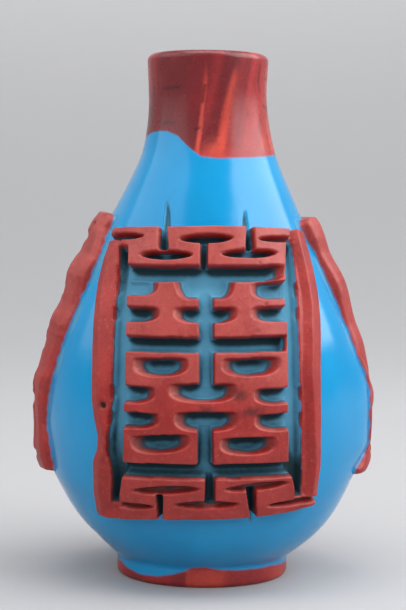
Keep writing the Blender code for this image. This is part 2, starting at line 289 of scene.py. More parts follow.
class Recipe:
    # a material and the few ways to put nodes in it
    def __init__(self, name):
        self.material = bpy.data.materials.new(name)
        self.material.use_nodes = True
        self.tree = self.material.node_tree
        self.tree.nodes.clear()

    def node(self, kind, settings=None, sockets=None, out=0):
        made = self.tree.nodes.new(kind)
        for key, value in (settings or {}).items():
            setattr(made, key, value)
        for key, value in (sockets or {}).items():
            if isinstance(value, Port):
                self.tree.links.new(value.socket, made.inputs[key])
            else:
                made.inputs[key].default_value = value
        return Port(self, made.outputs[out])

    def mark(self, name):
        return self.node("ShaderNodeAttribute", {"attribute_name": name}, out="Fac")

    def noise(self, where, scale, detail=2.0, roughness=0.5, distortion=0.0):
        return self.node("ShaderNodeTexNoise", {}, {"Vector": where, "Scale": scale, "Detail": detail,
                                                    "Roughness": roughness, "Distortion": distortion})

    def between(self, value, start, end, low=0.0, high=1.0):
        # smooth change from low to high as the value goes from start to end
        return self.node("ShaderNodeMapRange", {"interpolation_type": "SMOOTHSTEP"},
                         {"Value": value, "From Min": start, "From Max": end, "To Min": low, "To Max": high})

    def blend(self, share, below, above):
        return self.node("ShaderNodeMix", {"data_type": "RGBA"}, {0: share, 6: below, 7: above}, out=2)

    def scaled(self, where, size):
        return self.node("ShaderNodeVectorMath", {"operation": "MULTIPLY"}, {0: where, 1: size})

    def turned(self, where, angles):
        return self.node("ShaderNodeVectorRotate", {"rotation_type": "EULER_XYZ"},
                         {"Vector": where, "Rotation": [math.radians(a) for a in angles]})

    def finish(self, surface):
        output = self.tree.nodes.new("ShaderNodeOutputMaterial")
        self.tree.links.new(surface.socket, output.inputs["Surface"])
        return self.material


glass = {
    "blue": (0.0, 0.215, 0.46, 1.0), "bluePale": (0.003, 0.25, 0.51, 1.0),
    # cutDeep is the near-black of dirt and painted shade in the cuts' corners
    "cutBlue": (0.065, 0.235, 0.36, 1.0), "cutDeep": (0.004, 0.024, 0.034, 1.0),
    "red": (0.305, 0.014, 0.011, 1.0), "redDeep": (0.245, 0.010, 0.008, 1.0),
    "redShadow": (0.09, 0.009, 0.007, 1.0), "neckDark": (0.13, 0.011, 0.014, 1.0),
    "neckRed": (0.34, 0.026, 0.028, 1.0), "streak": (0.52, 0.060, 0.038, 1.0),
    "thread": (0.035, 0.004, 0.006, 1.0), "stain": (0.05, 0.006, 0.006, 1.0),
    # the dust colour serves pale dust and wear, and also the painted sheen on slopes that face the light
    "thinEdgeAndShade": (0.03, 0.03, 0.04, 1.0), "dustAndSheen": (0.55, 0.20, 0.17, 1.0),
    "blueRoughness": 0.17, "redRoughness": 0.46, "neckRoughness": 0.28, "cutRoughness": 0.85,
    "roughnessVaries": 0.1, "ior": 1.46, "grainHeight": 0.012, "patchHeight": 0.02, "bump": 0.5,
    # patterns in the glass: waves to the metre, then detail, roughness and distortion
    "ragged": (1400.0, 3.0), "cloud": (260.0, 4.0, 0.55), "smoke": (210.0, 3.0, 0.55, 0.5),
    "wisps": (420.0, 3.0, 0.55, 0.8), "blotches": (1300.0, 4.0, 0.7, 0.3), "specks": (5200.0, 1.0),
    "milk": (120.0, 3.0, 0.5, 0.4), "grain": (3200.0, 3.0, 0.6), "patches": (500.0, 2.0),
    # the neck's patterns lean and are drawn out; the turquoise's are a little
    "drawnLean": (0, -13, 0), "drawnOut": (1.0, 1.0, 0.10), "milkOut": (1.0, 1.0, 0.5),
    # where a pattern or a mark comes up: from, to, and how strongly at each
    "redSetsIn": (0.0, 0.42), "thinShade": (-0.252, 0.02), "redCloudy": (0.35, 0.7),
    "neckSmoky": (0.38, 0.66), "streaked": (0.12, 0.9), "wearAndSheenCloudy": (0.3, 0.6, 0.08, 0.18),
    "paleBlotch": (0.52, 0.72, 0.0, 0.13), "darkBlotch": (0.46, 0.30, 0.0, 0.40),
    "paleSpeck": (0.70, 0.76, 0.0, 0.3), "darkSpeck": (0.30, 0.25, 0.0, 0.5), "milky": (0.3, 0.75),
    "groundDull": (0.08, 0.42), "deepDirtAndShade": (0.42, 0.85), "redInDirtAndShade": (0.3, 0.8, 0.0, 0.85),
    "raggedShare": 0.12, "wispShare": 0.9, "threadShare": 0.85, "shadeShare": 0.8,
}


def overlayGlass():
    recipe = Recipe("overlay_glass")
    where = recipe.node("ShaderNodeTexCoord", out="Object")
    redMark, cutMark, neckMark = recipe.mark("red"), recipe.mark("cut"), recipe.mark("neck")

    # the red layer thins out to its end: first dark where it is thin, then clear turquoise; in the cuts this
    # dark edge is also painted shade at the walls' feet and in narrow slits
    ragged = (recipe.noise(where, *glass["ragged"]) - 0.5) * glass["raggedShare"]
    redness = recipe.between(redMark + ragged, *glass["redSetsIn"])
    shade = recipe.between(redMark + ragged, *glass["thinShade"])

    # red glass: cloudy; darker in the neck, with bright streaks drawn slantwise up it
    cloud = recipe.noise(where, *glass["cloud"])
    red = recipe.blend(recipe.between(cloud, *glass["redCloudy"]), glass["redDeep"], glass["red"])
    drawn = recipe.scaled(recipe.turned(where, glass["drawnLean"]), glass["drawnOut"])
    smoky = recipe.between(recipe.noise(drawn, *glass["smoke"]), *glass["neckSmoky"])
    neckRed = recipe.blend(smoky, glass["neckDark"], glass["neckRed"])
    wisps = (recipe.noise(drawn, *glass["wisps"]) - 0.5) * glass["wispShare"]
    bright = recipe.between(recipe.mark("streak") + wisps, *glass["streaked"])
    neckRed = recipe.blend(bright, neckRed, glass["streak"])
    neckRed = recipe.blend(recipe.mark("thread") * glass["threadShare"], neckRed, glass["thread"])
    red = recipe.blend(neckMark, red, neckRed)
    # pale where the tops are worn, and a painted sheen on the cuts' slopes that face the light
    red = recipe.blend(recipe.mark("wearAndSheen") * recipe.between(cloud, *glass["wearAndSheenCloudy"]), red, glass["dustAndSheen"])
    red = recipe.blend(recipe.mark("stain"), red, glass["stain"])
    blotches = recipe.noise(where, *glass["blotches"])
    pale = recipe.between(blotches, *glass["paleBlotch"]) * (1.0 - neckMark)
    red = recipe.blend(pale, red, glass["dustAndSheen"])
    red = recipe.blend(recipe.between(blotches, *glass["darkBlotch"]), red, glass["redShadow"])
    specks = recipe.noise(where, *glass["specks"])
    red = recipe.blend(recipe.between(specks, *glass["paleSpeck"]), red, glass["dustAndSheen"])
    red = recipe.blend(recipe.between(specks, *glass["darkSpeck"]), red, glass["stain"])

    # turquoise glass, ground dull in the cuts, and dark in their corners and under their upper edges with
    # dirt and painted shade
    milk = recipe.noise(recipe.scaled(where, glass["milkOut"]), *glass["milk"])
    blue = recipe.blend(recipe.between(milk, *glass["milky"]), glass["blue"], glass["bluePale"])
    dirt = cutMark + ragged
    dull = recipe.between(dirt, *glass["groundDull"])
    blue = recipe.blend(dull, blue, glass["cutBlue"])
    blue = recipe.blend(recipe.between(dirt, *glass["deepDirtAndShade"]), blue, glass["cutDeep"])
    # the dark thin edge, kept to the cuts, where it is partly painted shade
    blue = recipe.blend(shade * dull * glass["shadeShare"], blue, glass["thinEdgeAndShade"])
    # the red walls of the cuts darken with dirt and painted shade
    red = recipe.blend(recipe.between(dirt, *glass["redInDirtAndShade"]), red, glass["redShadow"])

    patches = recipe.noise(where, *glass["patches"])
    redRoughness = glass["redRoughness"] - neckMark * (glass["redRoughness"] - glass["neckRoughness"])
    roughness = (glass["blueRoughness"] + redness * (redRoughness - glass["blueRoughness"])
                 + dull * (1.0 - redness) * (glass["cutRoughness"] - glass["blueRoughness"])
                 + (patches - 0.5) * glass["roughnessVaries"])
    grain = recipe.noise(where, *glass["grain"])
    height = grain * glass["grainHeight"] + patches * glass["patchHeight"]
    bump = recipe.node("ShaderNodeBump", {}, {"Height": height, "Strength": glass["bump"], "Distance": mm})
    return recipe.finish(recipe.node("ShaderNodeBsdfPrincipled", {}, {
        "Base Color": recipe.blend(redness, blue, red), "Roughness": roughness, "Normal": bump,
        "IOR": glass["ior"], "Metallic": 0.0}))


overlay = overlayGlass()
print("glass ready")


def line(knots, at):
    # straight runs between (where, value) pairs
    places, values = zip(*knots)
    return np.interp(at, places, values)


def panelInside(u, v, outline):
    # distance in from the panel's outline, its corners rounded
    sideways = np.minimum(u - line(outline["leftEdge"], v), line(outline["rightEdge"], v) - u)
    upward = np.minimum(line(outline["topEdge"], u) - v, v - line(outline["bottomEdge"], u))
    low, high = outline["corners"]
    r = np.where(v > relief["upperHalf"], high, low)
    rounded = r - np.hypot(np.maximum(r - sideways, 0.0), np.maximum(r - upward, 0.0))
    return np.where(np.minimum(sideways, upward) < r, rounded, np.minimum(sideways, upward))


def alongStroke(u, v, u0, v0, u1, v1):
    # place along a stroke and beside it, from its middle, and half its length
    halfLength = math.hypot(u1 - u0, v1 - v0) / 2
    alongU, alongV = (u1 - u0) / (2 * halfLength), (v1 - v0) / (2 * halfLength)
    du, dv = u - (u0 + u1) / 2, v - (v0 + v1) / 2
    return du * alongU + dv * alongV, dv * alongU - du * alongV, halfLength


def cutTo(sheet, level, border):
    # takes the glass down to that level where it stands higher
    deeper = level < sheet["level"] - 1e-6
    sheet["level"] = np.where(deeper, level, sheet["level"])
    sheet["border"] = np.where(deeper, border, sheet["border"])


def carveStroke(sheet, u, v, stroke, shape):
    # one stroke of a wheel: steep along its upper side, sloping on the lower, coming up to both ends
    *ends, halfWidth, floor, ramp = stroke
    along, aside, halfLength = alongStroke(u, v, *ends)
    along, ramp = np.abs(along), min(ramp, halfLength)
    endLift = (np.maximum(along - (halfLength - ramp), 0.0) / ramp) ** shape["endCurve"]
    share = np.minimum(np.abs(aside) / halfWidth, 1.0)
    curve = np.where(aside > 0, shape["upper"], shape["lower"])
    sideLift = 1 - (1 - share**curve) ** (1 / curve)
    lift = np.where((along < halfLength) & (share < 1), np.minimum(endLift + sideLift, 1.0), 1.0)
    lift = np.where(sheet["open"], lift, 1.0)
    cutTo(sheet, floor + (sheet["top"] - floor) * lift, shape["border"])


def carveLens(sheet, u, v, stroke, shape):
    # a short thin stroke, pointed at both ends
    *ends, halfWidth, floor = stroke
    along, aside, halfLength = alongStroke(u, v, *ends)
    along = along / halfLength
    width = halfWidth * np.maximum(1 - along**2, 0.0) ** shape["pointed"] + 1e-6
    share = np.minimum(np.abs(aside) / width, 1.0)
    endLift = np.abs(np.clip(along, -1, 1)) ** shape["endCurve"]
    lift = np.minimum(share ** shape["steep"] + endLift, 1.0)
    cutTo(sheet, floor + (sheet["top"] - floor) * lift, shape["border"])


def carveNick(sheet, u, v, stroke, shape):
    # a pointed nick that runs out over the ground: wide in the panel, narrowing to its tip
    *ends, halfWidth, floor = stroke
    along, aside, halfLength = alongStroke(u, v, *ends)
    along = along + halfLength
    left = np.clip(1 - along / (2 * halfLength), 0.0, 1.0)
    width = halfWidth * left ** shape["narrowing"] + 1e-6
    share = np.clip(np.abs(aside) / width, 0.0, 1.0)
    startLift = np.clip(1 - along / shape["start"], 0.0, 1.0) ** 2
    depth = (1 - share ** shape["steep"]) * np.minimum(left * shape["tip"], 1.0) * (1 - startLift)
    cutTo(sheet, sheet["level"] + (floor - sheet["level"]) * depth, relief["channel"]["border"])
    # the nick is painted evenly dark inside: dirt and painted shade
    dark = shape["dirt"] * np.minimum(depth * shape["dirtSetsIn"], 1.0)
    sheet["dark"] = np.maximum(sheet["dark"], dark)


def nickDistance(u, v, nick):
    u0, v0, u1, v1 = nick[:4]
    along = ((u - u0) * (u1 - u0) + (v - v0) * (v1 - v0)) / ((u1 - u0) ** 2 + (v1 - v0) ** 2)
    along = np.clip(along, 0, 1)
    return np.hypot(u - (u0 + along * (u1 - u0)), v - (v0 + along * (v1 - v0)))


def carveGroove(sheet, u, v, groove, shape):
    # long groove between the edge bar and the field, pointed at its top
    leftWall, rightWall = line(groove["from"], v), line(groove["to"], v)
    inside = np.minimum(u - leftWall, rightWall - u)
    ends = np.minimum((v - groove["low"]) * shape["lowEnd"], (groove["high"] - v) * shape["highEnd"])
    inside = np.minimum(inside, ends)
    share = np.clip(inside / groove["run"], 0.0, 1.0)
    cutTo(sheet, groove["floor"] + (sheet["top"] - groove["floor"]) * (1 - smoothStep(0, 1, share)),
          relief["channel"]["border"])
    # dirt and painted shade fill its lower end, and further up lie along its left wall
    across = (u - leftWall) / (rightWall - leftWall)
    spread = 1 - smoothStep(*shape["clears"], across) * smoothStep(*shape["clearsAt"], v)
    dark = np.where(inside > shape["dirtInside"], line(groove["dirt"], v) * spread, 0.0)
    sheet["dark"] = np.maximum(sheet["dark"], dark)


def leaned(u, v, plan):
    # the plan's own numbers lean a little against the upright sheet
    lean = math.radians(plan["lean"])
    return u + (v - relief["leanAbout"]) * lean, v - u * lean


def carvedPanel(name, facing, plan):
    step = plan["step"]
    across = np.arange(plan["across"][0], plan["across"][1] + step, step)
    upward = np.arange(plan["upward"][0], plan["upward"][1] + step, step)
    u, v = np.meshgrid(across, upward)
    turn = panelTurn(u, v, facing)
    ground = groundHeight(turn, v)
    planU, planV = leaned(u, v, plan)

    # the hand's shake: every edge wanders a little
    shake, shortShake, seed = plan["shake"], plan["shake"] * relief["shortShare"], plan["seed"]
    uu = planU + shake * ripple(u, v, relief["longShake"], seed)
    uu = uu + shortShake * ripple(u, v, relief["shortShake"], seed + 1)
    vv = planV + shake * ripple(u, v, relief["longShake"], seed + 2)
    vv = vv + shortShake * ripple(u, v, relief["shortShake"], seed + 3)

    inside = panelInside(uu, vv, plan)
    top = relief["height"] - plan["bars"](uu, vv)
    top = top + relief["swell"] * ripple(u, v, relief["swellLength"], seed + 4)
    top = top - relief["edgeDrop"] * (1 - np.clip(inside / relief["edgeRound"], 0, 1)) ** 2
    top = np.maximum(top, ground + relief["least"])
    rise = smoothStep(relief["wallFoot"], relief["wallRun"], inside)
    bed = ground - relief["sunk"]
    sheet = {"top": top, "level": top.copy(), "border": np.full_like(top, relief["edgeBorder"]),
             "dark": np.zeros_like(top), "bare": np.zeros(top.shape, bool), "open": plan["open"](uu, vv)}
    for groove in plan["grooves"]:
        carveGroove(sheet, uu, vv, groove, relief["groove"])
    for strokes, shape in (("channels", "channel"), ("strokes", "slot")):
        for stroke in plan[strokes]:
            carveStroke(sheet, uu, vv, stroke, relief[shape])
    for stroke in plan["lenses"]:
        carveLens(sheet, uu, vv, stroke, relief["lens"])
    level = bed + (sheet["level"] - bed) * rise

    # a thin skin of ground around each nick that runs out of the panel
    for nick in plan["nicks"]:
        nearby = nickDistance(planU, planV, nick)
        skin = ground + relief["skin"] - relief["skinFall"] * np.maximum(nearby - relief["skinFlat"], 0.0)
        bare = (nearby < relief["skinReach"]) & (skin >= level) & (inside < relief["skinInside"])
        level = np.where(bare, skin, level)
        sheet["border"] = np.where(bare, relief["channel"]["border"], sheet["border"])
        sheet["bare"] |= bare
    uncut = np.maximum(level, bed + (top - bed) * rise)
    sheet["level"] = level
    for nick in plan["nicks"]:
        carveNick(sheet, uu, vv, nick, relief["nick"])
    level = sheet["level"]
    for pitU, pitV, radius, depth in plan["pits"]:
        level = level - depth * np.exp(-((planU - pitU) ** 2 + (planV - pitV) ** 2) / radius**2)
    level = softened(level, plan["wear"])
    cut = uncut - level

    # dirt and painted shade lie in the cuts, most of it where walls stand close by, with painted shadow
    # under the upper edges
    shown = np.maximum(level, ground)
    around = softened(shown, relief["dirtPasses"])
    # painted shadow: the surroundings a little higher up count, so the dark gathers under upper edges
    above = np.roll(around, -round(relief["dirtBelow"] / step), axis=0)
    shelter = np.maximum(relief["around"] * (around - shown), above - shown - relief["shelterFrom"])
    dirt = relief["dullShare"] * np.clip(cut / relief["dullFrom"], 0.0, 1.0)
    dirt = dirt + relief["shelter"] * np.clip(shelter, 0.0, 1.0)
    # dirt and painted shade: the cuts are painted darker towards the bottom of the panel
    low = relief["lowDirt"] * smoothStep(*relief["lowDirtAndShadeSetsIn"], v)
    dirt = dirt + low * (cut > relief["lowDirtAndShadeDepth"])
    dirt = np.where(sheet["bare"], 0.0, dirt)
    dirt = np.clip(np.maximum(dirt, sheet["dark"]), 0.0, 1.0)

    # the tops are worn, and a painted sheen lightens the cuts' left ends and lower sides, the slopes that
    # face the light
    inField = np.abs(u) < relief["fieldHalf"]
    wearAndSheen = smoothStep(*relief["wornDepths"], cut) * line(plan["wearAndSheen"], v)
    wearAndSheen = wearAndSheen * np.where(inField, 1.0, relief["wornBars"])
    slopeUp, slopeAcross = np.gradient(softened(level, relief["sheenPasses"]), step)
    paintedSheen = smoothStep(*relief["sheenSlopes"], -relief["sheenUp"] * slopeUp - slopeAcross)
    paintedSheen = paintedSheen * smoothStep(*relief["sheenDepths"], cut)
    paintedSheen = paintedSheen * (inField & (inside > relief["sheenInside"]))
    wearAndSheen = np.maximum(wearAndSheen, relief["paintedSheen"] * paintedSheen)
    wander = relief["borderWander"] * ripple(u, v, relief["borderLength"], seed + 5)
    redMark = level - ground - softened(sheet["border"], relief["borderPasses"]) + wander
    stain = np.zeros_like(u)
    blotch = 1 + relief["stainWander"] * ripple(u, v, relief["stainLength"], seed + 6)
    for stainU, stainV, wide, high, strength in plan["stains"]:
        spot = ((planU - stainU) / wide) ** 2 + ((planV - stainV) / high) ** 2
        stain = np.maximum(stain, strength * np.exp(-spot * blotch))

    # keep what shows: a square of the sheet goes when all four corners are well under the ground
    rows, columns = u.shape
    buried = (level - ground < relief["dropBelow"]) & (inside < relief["dropInside"])
    for nick in plan["nicks"]:
        buried &= nickDistance(planU, planV, nick) > relief["dropReach"]
    index = np.arange(rows * columns).reshape(rows, columns)
    squares = np.stack([index[:-1, :-1], index[:-1, 1:], index[1:, 1:], index[1:, :-1]], -1).reshape(-1, 4)
    squares = squares[~buried.ravel()[squares].all(1)]
    used, renumbered = np.unique(squares, return_inverse=True)
    points = wallSpot(turn, v, level).reshape(-1, 3)[used]
    marks = {"red": redMark, "cut": dirt, "stain": stain, "wearAndSheen": wearAndSheen}
    marks = {key: values.ravel()[used] for key, values in marks.items()}
    piece = addPiece(name, points, renumbered.reshape(-1, 4).tolist(), marks)
    print(name, len(squares) * 2, "triangles")
    return piece


def frontBars(u, v):
    # each edge bar has a ridge along it; the field between them is flat
    rightBar, leftBar = frontPanel["rightBar"], frontPanel["leftBar"]
    rightIn = line(frontPanel["rightEdge"], v) - u
    beyond = rightIn - line(rightBar["ridge"], v)
    rightDrop = np.where(beyond < 0, -rightBar["outward"] * beyond,
                         np.minimum(rightBar["inward"] * beyond, rightBar["deepest"]))
    leftIn = u - line(frontPanel["leftEdge"], v)
    beyond = leftIn - line(leftBar["ridge"], v)
    leftDrop = np.where(beyond < 0, -leftBar["outward"] * beyond, leftBar["inward"] * beyond)
    rightDrop = np.where(u > rightBar["from"], rightDrop * smoothStep(*rightBar["setsIn"], v), 0.0)
    leftDrop = np.where(u < leftBar["from"], leftDrop * smoothStep(*leftBar["setsIn"], v), 0.0)
    return rightDrop + leftDrop


def frontOpen(u, v):
    # where the strokes may cut: not in the edge bars
    return (u > line(frontPanel["grooves"][0]["from"], v)) & (u < line(frontPanel["grooves"][1]["to"], v))


frontPanel = {
    "step": 0.109, "across": (-16.4, 16.4), "upward": (7.8, 52.8), "corners": (1.0, 0.4), "seed": 11,
    "shake": 0.03, "wear": 1, "bars": frontBars, "open": frontOpen, "lean": 0.7, "rim": (0.6, 0.22),
    # edge bars: where the ridge is, how steeply they fall from it, and where they set in
    "rightBar": {"ridge": ((17, 1.3), (23, 1.7), (29, 2.1), (36, 2.3), (44, 2.5)), "outward": 0.32,
                 "inward": 0.85, "deepest": 0.8, "from": 10.6, "setsIn": (13.1, 13.9)},
    "leftBar": {"ridge": ((11, 1.6), (47, 1.6)), "outward": 0.4, "inward": 0.3, "from": -11.1,
                "setsIn": (10.5, 12.0)},
    "wearAndSheen": ((12, 0.2), (17, 0.35), (23, 0.1), (25, 0.2), (29, 0.9), (36, 0.8), (40, 0.7), (44, 1.0)),
    "leftEdge": ((10.8, -15.0), (14.4, -15.5), (17.8, -15.3), (19.3, -14.7), (21.1, -14.6), (23.5, -15.2),
                 (25.3, -15.5), (33.6, -15.65), (37.2, -15.6), (39.7, -15.4), (42.5, -14.8), (44.4, -14.1),
                 (46.3, -13.6)),
    "rightEdge": ((12.3, 14.2), (13.0, 14.35), (14.3, 14.6), (16.7, 14.85), (27.6, 15.05), (36.0, 15.7),
                  (38.4, 15.65), (40.9, 15.35), (43.4, 14.9), (45.8, 14.4)),
    "topEdge": ((-13.1, 46.6), (-0.4, 46.95), (5.0, 46.85), (14.1, 46.2)),
    "bottomEdge": ((-14.5, 10.9), (-12.5, 10.6), (-5.8, 11.0), (0.1, 11.1), (4.8, 11.2), (10.0, 11.55),
                   (13.6, 12.0)),
    "grooves": (
        {"from": ((13.3, -12.4), (15.8, -12.3), (17.6, -12.5), (19.2, -12.9), (20.6, -12.9), (23.1, -12.6),
                  (25.5, -12.35), (36.1, -12.2), (38.6, -12.0), (41.0, -11.8), (44.1, -11.7)),
         "to": ((13.4, -11.0), (15.9, -10.6), (17.1, -10.4), (22.6, -10.3), (28.0, -10.1), (37.4, -10.0),
                (43.5, -9.9)),
         "low": 12.7, "high": 44.3, "floor": -0.2, "run": 0.5,
         "dirt": ((13.0, 0.95), (17.0, 0.8), (23.0, 0.5), (33.0, 0.42), (39.0, 0.62), (44.0, 0.85))},
        {"from": ((14.0, 10.7), (16.1, 10.1), (17.7, 9.6), (22.0, 9.5), (33.8, 9.5), (37.4, 9.3),
                  (41.1, 9.5), (44.1, 9.8)),
         "to": ((13.9, 12.0), (15.7, 12.1), (20.6, 11.9), (27.8, 11.7), (37.3, 11.8), (41.0, 11.7),
                (44.1, 11.5), (45.7, 10.8)),
         "low": 13.4, "high": 45.1, "floor": -0.2, "run": 0.5,
         "dirt": ((13.4, 0.95), (18.0, 0.85), (23.0, 0.5), (32.0, 0.4), (38.0, 0.5), (42.0, 0.8))},
    ),
    # every stroke: from, to, half width, floor above the ground, how long its ends rise
    "channels": (
        # up the middle, above the foot band, above the blocks, and the open field under the head band
        (-0.33, 27.0, -0.33, 41.6, 0.85, -0.25, 0.5), (-0.5, 16.6, -0.5, 23.0, 0.9, -0.25, 0.5),
        (0.05, 12.9, 0.05, 17.2, 0.57, -0.15, 0.6), (-0.52, 41.4, -0.5, 45.0, 0.37, -0.2, 0.5),
        (-12.0, 32.25, 9.5, 32.25, 0.87, -0.2, 0.5), (-10.9, 17.15, 10.7, 17.15, 0.87, -0.2, 0.5),
    ),
    "strokes": (
        (-13.0, 40.75, 9.7, 40.75, 0.98, -0.3, 3.4),
        # beside and between the figures' heads
        (-4.0, 39.7, 3.1, 39.7, 2.0, -0.45, 1.8),
        (-13.5, 39.1, -5.9, 39.1, 1.05, -0.2, 2.4), (4.9, 38.6, 13.0, 38.7, 1.02, -0.1, 2.6),
        # figures
        (-14.0, 35.75, -5.7, 35.75, 0.9, -0.25, 3.4), (-4.2, 35.75, 3.4, 35.75, 0.9, -0.25, 3.0),
        (4.9, 35.75, 13.0, 35.75, 0.9, -0.25, 3.4),
        # blocks
        (-9.2, 29.5, -2.3, 29.7, 1.05, -0.25, 3.5), (1.3, 29.6, 8.6, 29.6, 1.05, -0.25, 3.7),
        (-14.0, 26.25, -6.3, 26.25, 0.98, -0.25, 3.2), (-4.8, 26.6, 3.3, 26.6, 1.05, -0.25, 3.6),
        (5.1, 26.05, 13.0, 26.05, 0.93, -0.25, 3.2),
        (-14.0, 23.2, -5.8, 23.2, 0.93, -0.25, 3.2), (-4.2, 23.2, 3.4, 23.2, 1.1, -0.25, 3.2),
        (5.2, 22.95, 13.0, 22.95, 0.98, -0.25, 3.2),
        (-9.5, 20.2, -2.2, 20.7, 1.05, -0.25, 3.7), (1.1, 20.2, 8.1, 20.2, 1.0, -0.25, 3.6),
    ),
    # in the head band and in the foot band: from, to, half width, floor
    "lenses": (
        (-14.9, 45.1, -7.6, 45.35, 0.40, 0.5), (-3.45, 45.05, 3.0, 45.15, 0.57, 0.1),
        (5.8, 45.05, 11.6, 44.8, 0.34, 0.6), (-8.4, 43.0, -1.7, 43.1, 0.55, 0.1),
        (1.3, 43.25, 8.6, 43.2, 0.54, 0.15), (-9.6, 14.6, -0.9, 15.15, 0.50, 0.85),
        (1.5, 15.0, 9.9, 15.5, 0.48, 0.85), (-11.9, 12.8, -6.4, 12.75, 0.34, 0.9),
        (-4.4, 13.1, 3.7, 13.2, 0.46, 0.85), (6.6, 12.8, 16.2, 13.15, 0.34, 0.75),
    ),
    "nicks": ((-5.35, 43.7, -5.3, 50.6, 0.62, -0.5), (5.0, 43.7, 4.9, 49.4, 0.58, -0.45),
              (4.9, 15.0, 5.5, 9.5, 0.56, -0.4), (-5.95, 14.3, -5.8, 10.4, 0.5, -0.1)),
    "pits": ((-13.3, 24.75, 0.3, 0.7), (-10.0, 31.0, 0.2, 0.2), (6.8, 36.9, 0.18, 0.2),
             (6.0, 42.0, 0.16, 0.15)),
    "stains": ((3.5, 26.3, 0.9, 0.7, 0.8), (4.9, 24.3, 1.3, 0.5, 0.8), (-0.3, 24.6, 0.8, 0.35, 0.7),
               (-13.3, 24.75, 0.38, 0.36, 1.6)),
}


def noBars(u, v):
    return np.zeros(u.shape)


def allOpen(u, v):
    return np.ones(u.shape, bool)


def mirroredStrokes(fret, middle, halfWidth, low, high, floor, ramp):
    # strokes given on one half, as shares of half the panel's width and of its height
    strokes = []
    for inner, outer, below, above in fret:
        spans = [(-outer, outer)] if inner == 0.0 else [(inner, outer), (-outer, -inner)]
        for start, end in spans:
            u0, u1 = middle + start * halfWidth, middle + end * halfWidth
            v0, v1 = low + below * (high - low), low + above * (high - low)
            if u1 - u0 > v1 - v0:
                level = (v0 + v1) / 2
                strokes.append((u0, level, u1, level, (v1 - v0) / 2, floor, ramp))
            else:
                place = (u0 + u1) / 2
                strokes.append((place, v0, place, v1, (u1 - u0) / 2, floor, plainPanel["uprightRamp"]))
    return tuple(strokes)


# What the three plainer panels have in common
plainPanel = {"open": allOpen, "lean": 0.0, "uprightRamp": 0.5,
              "channels": (), "lenses": (), "nicks": (), "pits": (), "stains": ()}

backPanel = {
    **plainPanel, "step": 0.13, "across": (-15.6, 15.6), "upward": (10.2, 47.6), "corners": (0.9, 0.6),
    "seed": 41, "shake": 0.05, "wear": 1, "bars": noBars, "rim": (0.8, 0.25),
    "wearAndSheen": ((12, 0.2), (26, 0.4), (44, 0.8)),
    "leftEdge": ((11.1, -14.4), (20.0, -14.6), (39.6, -14.6), (46.7, -12.9)),
    "rightEdge": ((11.1, 14.4), (20.0, 14.6), (39.6, 14.6), (46.7, 12.9)),
    "topEdge": ((-12.9, 46.5), (0.0, 46.7), (12.9, 46.5)),
    "bottomEdge": ((-14.6, 11.3), (0.0, 11.1), (14.6, 11.3)),
    "grooves": tuple(
        {"from": ((12.8, lowFrom), (45.0, highFrom)), "to": ((12.8, lowTo), (45.0, highTo)), "low": 12.7,
         "high": 45.2, "floor": -0.15, "run": 0.5, "dirt": ((13.0, 0.8), (24.0, 0.45), (44.0, 0.7))}
        for lowFrom, highFrom, lowTo, highTo in ((-11.7, -11.3, -9.9, -9.7), (9.8, 9.6, 11.6, 11.2))),
    "strokes": mirroredStrokes((
        (0.00, 0.06, 0.16, 0.37), (0.00, 0.06, 0.42, 0.86), (0.13, 0.62, 0.055, 0.100),
        (0.00, 0.74, 0.144, 0.192), (0.12, 0.60, 0.232, 0.286),
        (0.00, 0.27, 0.310, 0.366), (0.39, 0.74, 0.310, 0.362),
        (0.00, 0.28, 0.402, 0.460), (0.40, 0.74, 0.398, 0.450), (0.13, 0.61, 0.486, 0.544),
        (0.00, 0.74, 0.571, 0.619), (0.00, 0.60, 0.669, 0.718), (0.00, 0.74, 0.790, 0.850),
        (0.13, 0.62, 0.905, 0.945)), 0.0, 14.6, 11.1, 46.7, -0.1, 2.6),
}

sideFret = ((0.00, 0.55, 0.05, 0.085), (0.00, 0.24, 0.14, 0.19), (0.00, 0.55, 0.245, 0.295),
            (0.00, 0.26, 0.350, 0.400), (0.00, 0.55, 0.455, 0.505), (0.00, 0.26, 0.560, 0.610),
            (0.00, 0.55, 0.665, 0.710), (0.00, 0.24, 0.765, 0.810), (0.00, 0.55, 0.870, 0.910))


def sidePanel(facing, frontEdge, backEdge, middle, facet, high, crown, seed):
    # the front edge is at the low side of the sheet on the right panel and at the high side on the left
    toFront = 1 if facing == left else -1
    middle = -toFront * middle
    edges = [tuple((v, toFront * across) for v, across in edge) for edge in (frontEdge, backEdge)]
    lowEdge, highEdge = edges if facing == right else edges[::-1]

    def bars(u, v):
        # broad bars that rise from both edges, their height as the hand left it
        inward = np.minimum(u - line(lowEdge, v), line(highEdge, v) - u)
        return line(facet, inward) + relief["height"] - line(crown, v)

    grooves = tuple(
        {"from": ((15.0, start), (48.0, start)), "to": ((15.0, end), (48.0, end)), "low": 16.2, "high": 46.9,
         "floor": -0.15, "run": 0.3, "dirt": ((16.0, 0.9), (47.0, 0.7))}
        for start, end in ((middle - 2.9, middle - 2.1), (middle + 2.1, middle + 2.9)))
    return {
        **plainPanel, "step": 0.106, "across": (-8.9, 8.9), "upward": (13.0, 49.5), "corners": (0.4, 1.6),
        "seed": seed, "shake": 0.04, "wear": 2, "bars": bars, "leftEdge": lowEdge, "rightEdge": highEdge,
        "topEdge": ((-7.4, high), (7.4, high)), "bottomEdge": ((-7.4, 14.3), (7.4, 14.3)),
        "rim": (1.6, 0.42), "wearAndSheen": ((14, 0.0), (30, 0.2), (46, 0.8)), "grooves": grooves,
        "strokes": mirroredStrokes(sideFret, middle, 3.8, 14.2, 48.4, -0.1, 1.6),
    }


